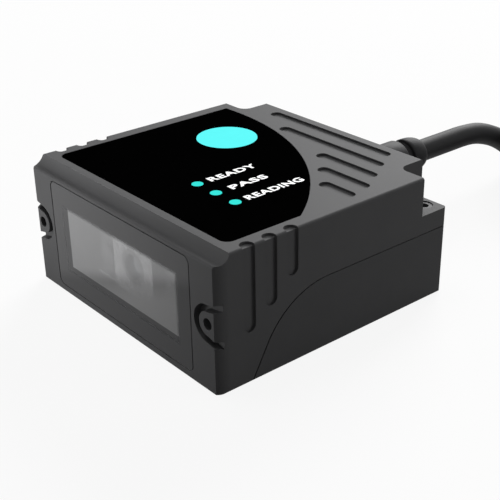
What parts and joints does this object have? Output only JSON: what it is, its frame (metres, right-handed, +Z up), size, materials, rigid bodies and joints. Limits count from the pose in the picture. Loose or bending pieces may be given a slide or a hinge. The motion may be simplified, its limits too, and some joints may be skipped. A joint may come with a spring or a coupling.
{
  "type": "fixed barcode reader",
  "caption": "Box-shaped fixed barcode reader with a scan window in its nose, lit marks in a black film on top, screw ledges at the rear and a coiled cable with a plug.",
  "frame": {"origin": "bottom centre of the housing, on the surface that it stands on, without the cable", "axes": "window face towards -Y, cable out along +Y, +X to the right in a view along +Y, +Z up"},
  "size_m": [0.1109, 0.1844, 0.0286],
  "materials": {
    "cover_plastic": "fine satin moulding",
    "base_plastic": "fine satin moulding",
    "frame_plastic": "satin moulding",
    "pane_tint": "tinted clear pane",
    "gasket_rubber": "soft black",
    "film_black": "smooth black film",
    "lit_disc": "lit diffuser",
    "lit_dots": "lit diffuser",
    "black_steel": "black oxide",
    "brass": "turned",
    "engine_metal": "matte grey",
    "barrel_black": "matte black",
    "lens_glass": "coated lens",
    "board_green": "solder mask",
    "lamp_plastic": "clear lamp lens",
    "steel": "plated",
    "ribbon_amber": "amber film",
    "can_steel": "tin plated",
    "chip_black": "moulded black",
    "socket_ivory": "moulded ivory",
    "lamp_chips": "lamp resin",
    "wire_skin": "coloured insulation",
    "boot_rubber": "satin black",
    "cable_skin": "satin black jacket",
    "tie_nylon": "black nylon",
    "plug_plastic": "satin black",
    "plug_steel": "plated",
    "tongue_white": "white insulator"
  },
  "bodies": {
    "root": {"top_cover": "cover_plastic", "base": "base_plastic", "window_frame": "frame_plastic", "window_pane": "pane_tint", "window_gasket": "gasket_rubber", "overlay_film": "film_black", "disc_diffuser": "lit_disc", "light_guide": "lit_dots", "cover_screws": "black_steel", "base_inserts": "brass", "engine_chassis": "engine_metal", "engine_bracket": "engine_metal", "lens_barrel": "barrel_black", "lens_element": "lens_glass", "sensor_board": "board_green", "main_board": "board_green", "indicator_board": "board_green", "illuminators": "lamp_plastic", "bracket_screws": "steel", "board_screws": "steel", "indicator_screws": "steel", "engine_flex": "ribbon_amber", "indicator_ribbon": "ribbon_amber", "shield_can": "can_steel", "memory_chip": "chip_black", "buzzer": "chip_black", "flex_socket": "socket_ivory", "cable_socket": "socket_ivory", "indicator_lamps": "lamp_chips", "wires": "wire_skin", "strain_relief": "boot_rubber", "cable": "cable_skin", "cable_coil": "cable_skin", "cable_tail": "cable_skin", "coil_tie": "tie_nylon", "plug_body": "plug_plastic", "plug_shell": "plug_steel", "plug_tongue": "tongue_white"}
  },
  "joints": []
}
